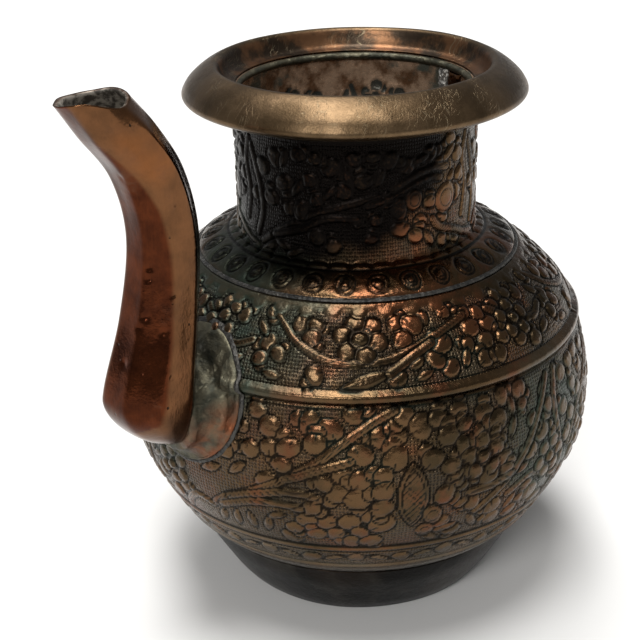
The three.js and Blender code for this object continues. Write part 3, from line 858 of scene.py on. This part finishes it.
def add_spout_saddle():
    phi = np.arange(SADDLE_COLUMNS) * TAU / SADDLE_COLUMNS
    rings = [saddle_ring(phi, SADDLE_R - 0.8, SADDLE_Z, lift=0.3)]
    rings.append(saddle_ring(phi, SADDLE_R, SADDLE_Z, lift=0.35))
    for turn in (0.3, 0.6, 1):
        angle = turn * math.pi / 2
        rings.append(saddle_ring(phi, SADDLE_R - 0.9 * (1 - math.cos(angle)), SADDLE_Z,
                                 lift=0.4 + (PLATE_THICK - 0.4) * math.sin(angle)))
    for step in np.linspace(0.1, 1, 6):
        radius = SADDLE_R - 0.9 + (COLLAR_BODY_R - SADDLE_R + 0.9) * step
        centre = SADDLE_Z + (COLLAR_Z - SADDLE_Z) * step
        rings.append(saddle_ring(phi, radius, centre, lift=PLATE_THICK))
    plate = rings[-1]
    edge = saddle_ring(phi, COLLAR_TUBE_R, COLLAR_Z, reach=COLLAR_REACH)
    for step in np.linspace(0, 1, 26)[1:]:
        angle = step * math.pi / 2
        inward, outward = math.sin(angle), 1 - math.cos(angle)
        ring = plate.copy()
        ring[:, 0] += (edge[:, 0] - plate[:, 0]) * outward
        ring[:, 1:] += (edge[:, 1:] - plate[:, 1:]) * inward
        rings.append(ring)
    for inset, further in ((0.3, 0.7), (0.9, 1.2), (2.2, 1.6), (5, 1.6), (7.5, 1), (7.6, -6)):
        rings.append(saddle_ring(phi, COLLAR_TUBE_R - inset, COLLAR_Z, reach=COLLAR_REACH + further))
    rings.append(saddle_ring(phi, 9, COLLAR_Z, lift=0.3))
    rings.append(saddle_ring(phi, 15, COLLAR_Z + 1, lift=0.3))
    surface = np.array(rings)
    hammered = wobble(np.degrees(phi), np.arange(len(rings)) * 3.0, 41, 0.16, 9)
    surface[4:-9, :, 0] -= hammered[4:-9]
    return mesh_object("spout_saddle", surface.reshape(-1, 3), grid_faces(len(rings), SADDLE_COLUMNS, True))


def add_saddle_solder():
    """A lumpy bead of solder round the plate's edge."""
    columns, around = 260, 12
    phi = np.arange(columns) * TAU / columns
    source = np.random.default_rng(43)
    thrice = np.tile(source.uniform(-1, 1, columns), 3)
    lumps = np.convolve(thrice, np.ones(5) / 5, "same")[columns:2 * columns]
    wide = 0.7 + 0.25 * lumps
    rings = []
    for turn in np.arange(around) * TAU / around:
        radius = SADDLE_R + 0.5 + wide * np.cos(turn)
        rings.append(saddle_ring(phi, radius, SADDLE_Z, lift=0.4 + 0.6 * wide * np.sin(turn)))
    return mesh_object("saddle_solder", np.array(rings).reshape(-1, 3), grid_faces(around, columns, True))


# ---- upright seam inside the neck ----

STRAP_ANGLE = -0.33          # radians from +X
STRAP_BOTTOM_Z = 131
STRAP_TOP_Z = 176.8
STRAP_HALF = 3.8             # half its width
BEAD_HALF = 2.3              # half the width of the solder beside it
BEAD_AWAY = 0.5              # bare sheet between the two


def lining_slice(name, angle, half_wide, low, high, thick, lumps, seed):
    """A lumpy upright strip of metal against the inside of the neck."""
    source = np.random.default_rng(seed)
    rows, columns = spread(low, high, 0.4), np.linspace(-1, 1, 25)
    rough = source.uniform(-1, 1, (len(rows) + 6, len(columns) + 6))
    for _ in range(3):
        rough = (rough[:-1] + rough[1:])[:, :-1] / 2 + (rough[:-1] + rough[1:])[:, 1:] / 2
        rough /= 2
    rough = rough[:len(rows), :len(columns)] / rough.std()
    edge = np.sqrt(np.clip(1 - np.abs(columns) ** 5, 0, 1))[None, :]
    ends = np.sqrt(np.clip(np.minimum(rows - low, high - rows) / 1.5, 0, 1))[:, None]
    depth = np.maximum((thick + lumps * rough) * edge * ends, 0.05)
    ragged = 1 + 0.05 * np.sin(rows * 0.7 + seed)[:, None]
    theta = angle + columns[None, :] * ragged * half_wide / LINING_R
    height = np.repeat(rows[:, None], len(columns), 1)
    front, back = (
        np.stack([AXIS_X + radius * np.cos(theta), AXIS_Y + radius * np.sin(theta), height], -1)
        for radius in (LINING_R - depth, LINING_R)
    )
    section = np.concatenate([front, back[:, ::-1]], axis=1)
    around = section.shape[1]
    vertices = section.reshape(-1, 3)
    top = (len(rows) - 1) * around
    caps = []
    for i in range(len(columns) - 1):
        j = around - 1 - i
        caps.append((i, i + 1, j - 1, j))
        caps.append((top + i, top + j, top + j - 1, top + i + 1))
    quads = np.vstack([grid_faces(len(rows), around, False)[:, ::-1], caps])
    return mesh_object(name, vertices, quads)


def add_seam_strap():
    return lining_slice("seam_strap", STRAP_ANGLE, STRAP_HALF, STRAP_BOTTOM_Z, STRAP_TOP_Z, 1.3, 0.1, 51)


def add_seam_solder():
    angle = STRAP_ANGLE + (STRAP_HALF + BEAD_AWAY + BEAD_HALF) / LINING_R
    return lining_slice("seam_solder", angle, BEAD_HALF, 150, STRAP_TOP_Z + 0.4, 1.2, 0.28, 52)


# ---- materials ----


class Finish:
    """One material made of nodes. Sizes are in millimetres."""

    def __init__(self, name, metallic=1.0):
        self.material = bpy.data.materials.new(name)
        self.material.use_nodes = True
        self.tree = self.material.node_tree
        self.shader = self.tree.nodes["Principled BSDF"]
        self.shader.inputs["Metallic"].default_value = metallic
        self.place = self.tree.nodes.new("ShaderNodeTexCoord").outputs["Object"]
        self.normal = None
        self.ragged = self.stirred(14, 16)

    def feed(self, socket, value):
        if isinstance(value, bpy.types.NodeSocket):
            self.tree.links.new(value, socket)
        else:
            socket.default_value = value

    def attribute(self, name):
        node = self.tree.nodes.new("ShaderNodeAttribute")
        node.attribute_name = name
        return node.outputs["Fac"]

    def sum(self, operation, a, b=0.0, c=0.0, clamp=False):
        node = self.tree.nodes.new("ShaderNodeMath")
        node.operation = operation
        node.use_clamp = clamp
        for socket, value in zip(node.inputs, (a, b, c)):
            self.feed(socket, value)
        return node.outputs[0]

    def times(self, a, b):
        return self.sum("MULTIPLY", a, b)

    def vector(self, operation, a, b):
        node = self.tree.nodes.new("ShaderNodeVectorMath")
        node.operation = operation
        self.feed(node.inputs[0], a)
        self.feed(node.inputs[1], b)
        return node.outputs["Value" if operation in ("DISTANCE", "DOT_PRODUCT") else "Vector"]

    def noise(self, size, detail=3.0, rough=0.5, place=None, stretch=None, colour=False):
        place = self.place if place is None else place
        if stretch:
            place = self.vector("MULTIPLY", place, stretch)
        node = self.tree.nodes.new("ShaderNodeTexNoise")
        self.feed(node.inputs["Vector"], place)
        node.inputs["Scale"].default_value = 1 / (size * MM)
        node.inputs["Detail"].default_value = detail
        node.inputs["Roughness"].default_value = rough
        return node.outputs["Color" if colour else "Fac"]

    def cells(self, size, place=None, random=1.0, flat=False):
        """Distance from the nearest of scattered points, in cells."""
        node = self.tree.nodes.new("ShaderNodeTexVoronoi")
        node.voronoi_dimensions = "2D" if flat else "3D"
        self.feed(node.inputs["Vector"], self.place if place is None else place)
        node.inputs["Scale"].default_value = 1 / size if flat else 1 / (size * MM)
        node.inputs["Randomness"].default_value = random
        return node.outputs["Distance"]

    def stirred(self, size, distance):
        """The place moved about by a noise."""
        shift = self.vector("SUBTRACT", self.noise(size, 4, colour=True), (0.5, 0.5, 0.5))
        return self.vector("ADD", self.place, self.vector("MULTIPLY", shift, (distance * MM,) * 3))

    def step(self, value, low, high):
        node = self.tree.nodes.new("ShaderNodeMapRange")
        node.interpolation_type = "SMOOTHSTEP"
        self.feed(node.inputs["Value"], value)
        node.inputs["From Min"].default_value = low
        node.inputs["From Max"].default_value = high
        return node.outputs["Result"]

    def between(self, value, low, high):
        """Zero to one mapped straight onto a range."""
        return self.sum("MULTIPLY_ADD", value, high - low, low)

    def mix(self, factor, a, b):
        node = self.tree.nodes.new("ShaderNodeMix")
        node.data_type = "RGBA"
        self.feed(node.inputs["Factor"], factor)
        colours = [s for s in node.inputs if s.type == "RGBA"]
        for socket, value in zip(colours, (a, b)):
            self.feed(socket, value if isinstance(value, bpy.types.NodeSocket) else (*value, 1))
        return [s for s in node.outputs if s.type == "RGBA"][0]

    def near(self, deg, radius, z, reach, inner):
        """One at a place on the jug, fading raggedly to zero at a distance from it."""
        angle = math.radians(FRONT_DEG + deg)
        point = Vector((AXIS_X + radius * math.cos(angle), AXIS_Y + radius * math.sin(angle), z)) * MM
        return self.step(self.vector("DISTANCE", self.ragged, tuple(point)), reach * MM, reach * inner * MM)

    def patches(self, places, inner=0.35):
        """One at any of several places on the jug."""
        return self.any([self.near(*place, inner=inner) for place in places])

    def any(self, masks):
        total = masks[0]
        for mask in masks[1:]:
            total = self.sum("MAXIMUM", total, mask)
        return total

    def bump(self, height, depth):
        node = self.tree.nodes.new("ShaderNodeBump")
        node.inputs["Distance"].default_value = depth * MM
        self.feed(node.inputs["Height"], height)
        if self.normal is not None:
            self.feed(node.inputs["Normal"], self.normal)
        self.normal = node.outputs["Normal"]

    def done(self, colour, roughness, metallic=None):
        self.feed(self.shader.inputs["Base Color"], colour)
        self.feed(self.shader.inputs["Roughness"], roughness)
        if metallic is not None:
            self.feed(self.shader.inputs["Metallic"], metallic)
        if self.normal is not None:
            self.feed(self.shader.inputs["Normal"], self.normal)
        return self.material


BROWN_DARK = (0.046, 0.032, 0.017)
BROWN_WARM = (0.106, 0.061, 0.029)
COPPER_WORN = (0.106, 0.060, 0.031)
COPPER_ORANGE = (0.165, 0.062, 0.028)
PAINTED_SHEEN_BROWN = (0.150, 0.122, 0.088)
RED_BROWN = (0.120, 0.045, 0.022)
GREY_GREEN = (0.028, 0.040, 0.027)
GREY_BROWN = (0.054, 0.038, 0.023)
# Soot black, also used as painted shade in the punched dimples.
SOOT_AND_PAINTED_SHADE = (0.005, 0.004, 0.0035)
BLUE_GREEN = (0.035, 0.060, 0.060)

DOT_PITCH = 1.2              # of the matted ground, struck with a small round punch


def chased_copper(name, lining, lining_stain, bright, green, soot=(), pale=()):
    """Chased copper darkened by age. Patches are (degrees from the front, radius, height, reach), and
    `lining` is two tones of the sheet's bare inner face, with a third for its stains."""
    f = Finish(name)
    raised, sunk = f.attribute("raised"), f.attribute("sunk")
    ground, inside = f.attribute("ground"), f.attribute("inside")
    age = f.step(f.noise(34, 4, 0.6), 0.38, 0.62)
    cloud = f.noise(7, 5, 0.62)
    speck = f.noise(1.1, 4, 0.65)
    high = f.step(raised, 0.12, 0.5)
    outside = f.sum("SUBTRACT", 1, inside)

    colour = f.mix(age, BROWN_DARK, BROWN_WARM)
    worn = f.times(high, f.step(cloud, 0.42, 0.62))
    colour = f.mix(f.times(worn, 0.5), colour, COPPER_WORN)
    ruddy = f.step(f.noise(16, 4, 0.6), 0.5, 0.66)
    colour = f.mix(f.times(ruddy, 0.7), colour, RED_BROWN)
    glow = f.patches(bright)
    glow = f.times(glow, f.step(f.sum("ADD", f.times(high, 0.15), cloud), 0.32, 0.75))
    colour = f.mix(glow, colour, COPPER_ORANGE)
    hollow = f.sum("MAXIMUM", f.times(ground, 0.45), f.step(sunk, 0.15, 0.7))
    patina = f.times(hollow, f.step(f.noise(11, 5, 0.6, f.ragged), 0.34, 0.6))
    spread_green = f.patches(green)
    film = f.times(spread_green, f.between(f.step(cloud, 0.35, 0.6), 0.7, 1.0))
    film = f.times(film, f.between(high, 1.0, 0.35))
    patina = f.sum("MAXIMUM", patina, film)
    greener = f.sum("MAXIMUM", f.noise(26, 3), spread_green)
    patina_colour = f.mix(f.step(greener, 0.42, 0.7), GREY_BROWN, GREY_GREEN)
    colour = f.mix(patina, colour, patina_colour)
    dull, flaky = patina, patina
    # Painted reflection: the pale patches low on the bowl are a pale grey-brown sheen of the floor, painted
    # into the colour.
    if pale:
        painted_sheen = f.patches(pale)
        colour = f.mix(f.times(painted_sheen, 0.6), colour, PAINTED_SHEEN_BROWN)
    if soot:
        black = f.patches(soot, inner=0.62)
        black = f.times(black, f.between(f.times(high, f.step(speck, 0.45, 0.7)), 1.0, 0.85))
        colour = f.mix(black, colour, SOOT_AND_PAINTED_SHADE)
        dull = f.sum("MAXIMUM", dull, black)
    wall = f.mix(f.step(cloud, 0.34, 0.6), *lining)
    wall = f.mix(f.step(f.noise(13, 4, 0.6), 0.5, 0.64), wall, lining_stain)
    dent = f.times(inside, f.step(f.sum("ADD", raised, f.times(cloud, 0.5)), 0.3, 0.6))
    colour = f.mix(f.times(inside, 0.8), colour, wall)
    colour = f.mix(f.times(dent, 0.85), colour, BLUE_GREEN)
    outline = f.step(sunk, 0.2, 0.75)
    colour = f.mix(f.times(outline, 0.85), colour, SOOT_AND_PAINTED_SHADE)

    place = f.tree.nodes.new("ShaderNodeUVMap")
    place.uv_map = "around"
    dots = f.step(f.cells(DOT_PITCH, place.outputs["UV"], 0.3, flat=True), 0.5, 0.15)
    dots = f.times(dots, f.times(ground, outside))
    # Painted shade: the punched dimples of the matted ground are coloured darker.
    colour = f.mix(f.times(dots, 0.6), colour, SOOT_AND_PAINTED_SHADE)
    f.bump(dots, -0.22)
    f.bump(speck, 0.05)
    f.bump(f.noise(3, 3), 0.22)
    f.bump(cloud, 0.35)
    roughness = f.sum("ADD", f.between(speck, 0.12, 0.38), f.times(dull, 0.12))
    flaky = f.sum("MAXIMUM", f.sum("SUBTRACT", flaky, outline, clamp=True), inside)
    if soot:
        flaky = f.sum("SUBTRACT", flaky, black, clamp=True)
    return f.done(colour, roughness, f.between(flaky, 1.0, 0.62))


def smooth_dark_copper(name):
    """The plain foot, almost black, worn browner here and there."""
    f = Finish(name)
    cloud = f.noise(9, 5, 0.6)
    colour = f.mix(f.step(f.noise(30, 4), 0.42, 0.62), (0.006, 0.005, 0.004), (0.020, 0.014, 0.010))
    colour = f.mix(f.times(f.step(cloud, 0.5, 0.68), 0.5), colour, (0.036, 0.030, 0.021))
    speck = f.noise(0.9, 4, 0.6)
    f.bump(cloud, 0.3)
    f.bump(speck, 0.05)
    f.bump(f.noise(0.7, 2, stretch=(0.15, 0.15, 3)), 0.03)
    return f.done(colour, f.between(speck, 0.22, 0.5), f.between(f.step(cloud, 0.45, 0.7), 1.0, 0.8))


def handled_copper(name):
    """The spout: smooth warm copper, polished by hands and browned in patches, with painted shade darkening
    its front and left flats.
    """
    f = Finish(name)
    cloud = f.noise(8, 5, 0.6)
    streak = f.noise(1.6, 4, 0.6, stretch=(3, 3, 0.3))
    tone = f.step(f.sum("ADD", f.times(cloud, 0.8), f.times(streak, 0.2)), 0.3, 0.7)
    colour = f.mix(tone, (0.098, 0.046, 0.021), (0.155, 0.069, 0.030))
    # Painted shade: the flats marked by the shade attribute are coloured a darker red-brown.
    shade = f.attribute("shade")
    colour = f.mix(shade, colour, f.mix(tone, (0.040, 0.012, 0.006), (0.095, 0.026, 0.010)))
    stain = f.step(f.noise(20, 5, 0.65, f.ragged), 0.54, 0.7)
    colour = f.mix(f.times(stain, 0.5), colour, (0.10, 0.050, 0.030))
    orange = f.patches([(0, 92, 186, 22), (-30, 100, 178, 24)])
    colour = f.mix(f.times(orange, 0.6), colour, (0.32, 0.105, 0.026))
    speck = f.noise(0.8, 4, 0.6)
    pit = f.times(f.step(f.cells(3.5), 0.14, 0.06), f.step(f.noise(10, 2), 0.52, 0.6))
    colour = f.mix(pit, colour, (0.03, 0.022, 0.016))
    inside = f.attribute("inside")
    crust = f.mix(f.step(f.noise(2, 4, 0.6), 0.4, 0.6), (0.06, 0.055, 0.045), (0.34, 0.31, 0.26))
    colour = f.mix(f.times(inside, 0.9), colour, crust)
    f.bump(cloud, 0.2)
    f.bump(streak, 0.03)
    f.bump(speck, 0.012)
    f.bump(pit, -0.2)
    roughness = f.sum("ADD", f.between(speck, 0.08, 0.28), f.times(inside, 0.35))
    return f.done(colour, roughness, f.between(inside, 1.0, 0.2))


def cast_bronze(name):
    """The rim: olive-brown, satin, with fine scratches that catch the light."""
    f = Finish(name)
    cloud = f.noise(12, 5, 0.6)
    colour = f.mix(f.step(cloud, 0.34, 0.66), (0.078, 0.050, 0.026), (0.142, 0.092, 0.050))
    stain = f.step(f.noise(24, 5, 0.62, f.ragged), 0.54, 0.68)
    colour = f.mix(f.times(stain, 0.7), colour, (0.06, 0.038, 0.022))
    level = f.vector("MULTIPLY", f.place, (1, 1, 0))
    from_axis = f.vector("DISTANCE", level, (AXIS_X * MM, AXIS_Y * MM, 0))
    wall = f.step(from_axis, 46.2 * MM, 45.2 * MM)
    colour = f.mix(wall, colour, f.mix(f.step(cloud, 0.4, 0.6), (0.05, 0.035, 0.024), (0.20, 0.10, 0.05)))
    scratches = []
    for turn, size in ((0.5, 0.32), (2.2, 0.36), (1.2, 0.3)):
        along = f.vector("DOT_PRODUCT", f.place, (math.cos(turn), math.sin(turn), 0.2))
        across = f.vector("DOT_PRODUCT", f.place, (-math.sin(turn), math.cos(turn), 0.5))
        combine = f.tree.nodes.new("ShaderNodeCombineXYZ")
        f.feed(combine.inputs[0], f.times(along, 0.07))
        f.feed(combine.inputs[1], across)
        scratches.append(f.step(f.noise(size, 2, 0.5, combine.outputs[0]), 0.62, 0.7))
    scratch = f.any(scratches)
    scratch = f.times(scratch, f.step(f.noise(15, 3), 0.42, 0.6))
    colour = f.mix(f.times(scratch, 0.35), colour, (0.36, 0.29, 0.18))
    speck = f.noise(0.6, 4, 0.65)
    f.bump(cloud, 0.3)
    f.bump(speck, 0.05)
    f.bump(scratch, -0.03)
    return f.done(colour, f.between(speck, 0.24, 0.5))


def filed_copper(name):
    """The saddle: grey-green, hammered and filed, red where the heel of the spout joins it."""
    f = Finish(name)
    cloud = f.noise(6, 5, 0.6)
    colour = f.mix(f.step(cloud, 0.36, 0.62), (0.038, 0.038, 0.026), (0.110, 0.100, 0.068))
    red = f.patches([(-30, 80, 78, 20), (-34, 92, 76, 18)])
    red = f.times(red, f.step(f.noise(7, 4), 0.28, 0.62))
    colour = f.mix(f.times(red, 0.9), colour, (0.21, 0.066, 0.027))
    streak = f.noise(0.9, 3, 0.6, stretch=(0.3, 0.3, 2.6))
    speck = f.noise(0.9, 4, 0.65)
    f.bump(f.cells(6.5, f.ragged), 0.9)
    f.bump(streak, 0.10)
    f.bump(speck, 0.06)
    dull = f.times(f.step(cloud, 0.6, 0.4), f.sum("SUBTRACT", 1, red))
    return f.done(colour, f.between(speck, 0.3, 0.62), f.between(dull, 0.95, 0.75))


def solder(name, light):
    """Grey granular solder, of a given brightness."""
    f = Finish(name)
    grain = f.cells(1.3, f.stirred(3, 1.5))
    cloud = f.noise(3, 4, 0.6)
    shade = tuple(light * tint for tint in (0.30, 0.29, 0.27))
    pale = tuple(light * tint for tint in (1.5, 1.42, 1.28))
    colour = f.mix(f.step(cloud, 0.35, 0.62), shade, pale)
    f.bump(grain, 0.4)
    f.bump(f.noise(0.5, 3, 0.6), 0.08)
    return f.done(colour, f.between(cloud, 0.35, 0.65), f.between(f.step(cloud, 0.4, 0.6), 0.5, 0.9))


def pale_floor(name):
    f = Finish(name, metallic=0)
    tone = f.step(f.noise(400, 3), 0.3, 0.7)
    f.shader.inputs["Specular IOR Level"].default_value = 0.2
    return f.done(f.mix(tone, (0.80, 0.79, 0.77), (0.82, 0.81, 0.79)), 0.75)


# ---- floor and light ----


FLOOR_HALF = 20              # metres


def add_floor():
    corners = [(x * FLOOR_HALF, y * FLOOR_HALF, 0) for x, y in ((-1, -1), (1, -1), (1, 1), (-1, 1))]
    mesh = bpy.data.meshes.new("floor")
    mesh.from_pydata(corners, [], [(0, 1, 2, 3)])
    floor = bpy.data.objects.new("floor", mesh)
    bpy.context.scene.collection.objects.link(floor)
    floor.data.materials.append(pale_floor("pale_floor"))


def add_light(name, deg, elevation, strength, width):
    """A round soft light far away, in degrees from the front and above the horizon."""
    data = bpy.data.lights.new(name, "SUN")
    data.energy = strength
    data.angle = math.radians(width)
    light = bpy.data.objects.new(name, data)
    bpy.context.scene.collection.objects.link(light)
    angle, rise = math.radians(FRONT_DEG + deg), math.radians(elevation)
    towards = Vector((math.cos(angle) * math.cos(rise), math.sin(angle) * math.cos(rise), math.sin(rise)))
    light.rotation_euler = towards.to_track_quat("Z", "Y").to_euler()


def add_world(brightness):
    world = bpy.data.worlds.new("studio")
    world.use_nodes = True
    background = world.node_tree.nodes["Background"]
    background.inputs["Color"].default_value = (0.98, 0.99, 1, 1)
    background.inputs["Strength"].default_value = brightness
    bpy.context.scene.world = world


# ---- the scene ----

BODY_COPPER = chased_copper(
    "chased_copper_body",
    lining=((0.05, 0.030, 0.018), (0.16, 0.100, 0.062)),
    lining_stain=GREY_GREEN,
    bright=[(14, 60, 119, 18), (30, 60, 118, 14)],
    green=[(-48, 66, 116, 58), (-38, 72, 106, 34), (-60, 80, 84, 36), (50, 80, 74, 38),
           (-20, 52, 124, 16)],
    # Painted reflection: a pale sheen low on the bowl.
    pale=[(-34, 64, 30, 34), (-4, 62, 24, 26), (24, 62, 26, 26)],
)
NECK_COPPER = chased_copper(
    "chased_copper_neck",
    # Painted light: these tones are the bare copper inside, brightened to stand in for light falling inside
    # the mouth.
    lining=((0.20, 0.098, 0.048), (0.70, 0.47, 0.31)),
    lining_stain=(0.15, 0.165, 0.135),
    bright=[(16, 41, 137, 22), (6, 50, 127, 15), (24, 50, 127, 20)],
    soot=[(-34, 41, 164, 48), (-6, 41, 158, 32), (22, 41, 165, 20)],
    green=[(-40, 46, 128, 26), (-70, 41, 145, 40)],
)
FOOT_COPPER = smooth_dark_copper("dark_copper_foot")
SPOUT_COPPER = handled_copper("handled_copper")
RIM_BRONZE = cast_bronze("cast_bronze")
SADDLE_COPPER = filed_copper("filed_copper")
PALE_SOLDER = solder("pale_solder", 0.3)
DULL_SOLDER = solder("dull_solder", 0.05)

PIECES = [                   # (maker, node it stands for, slot, material)
    (add_foot_ring, "foot_ring", "dark_copper", FOOT_COPPER),
    (add_lower_bowl, "lower_bowl", "dark_copper", BODY_COPPER),
    (add_upper_body, "upper_body", "dark_copper", BODY_COPPER),
    (add_neck_collar, "neck_collar", "dark_copper", NECK_COPPER),
    (add_rim_ring, "rim_ring", "bronze", RIM_BRONZE),
    (add_rim_solder, "rim_solder", "solder", SADDLE_COPPER),
    (add_seam_strap, "seam_strap", "red_copper", SPOUT_COPPER),
    (add_seam_solder, "seam_solder", "solder", PALE_SOLDER),
    (add_spout_tube, "spout_tube", "red_copper", SPOUT_COPPER),
    (add_spout_saddle, "spout_saddle", "green_copper", SADDLE_COPPER),
    (add_saddle_solder, "saddle_solder", "solder", DULL_SOLDER),
]

for make, node, slot, material in PIECES:
    piece = make()
    piece.data.materials.append(material)
    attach(piece, "root")
    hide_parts(node)

KEPT_NODES = {"foot_solder": FOOT_COPPER, "neck_solder": DULL_SOLDER}
for node, material in KEPT_NODES.items():
    for slot in bpy.data.objects[node].material_slots:
        slot.material = material

add_camera()
add_floor()
add_light("key_light", -150, 70, 1.3, 22)
add_light("top_light", -25, 82, 2.0, 24)
add_light("front_light", -22, 34, 1.3, 20)
add_world(0.28)
bpy.context.scene.view_settings.view_transform = "Standard"
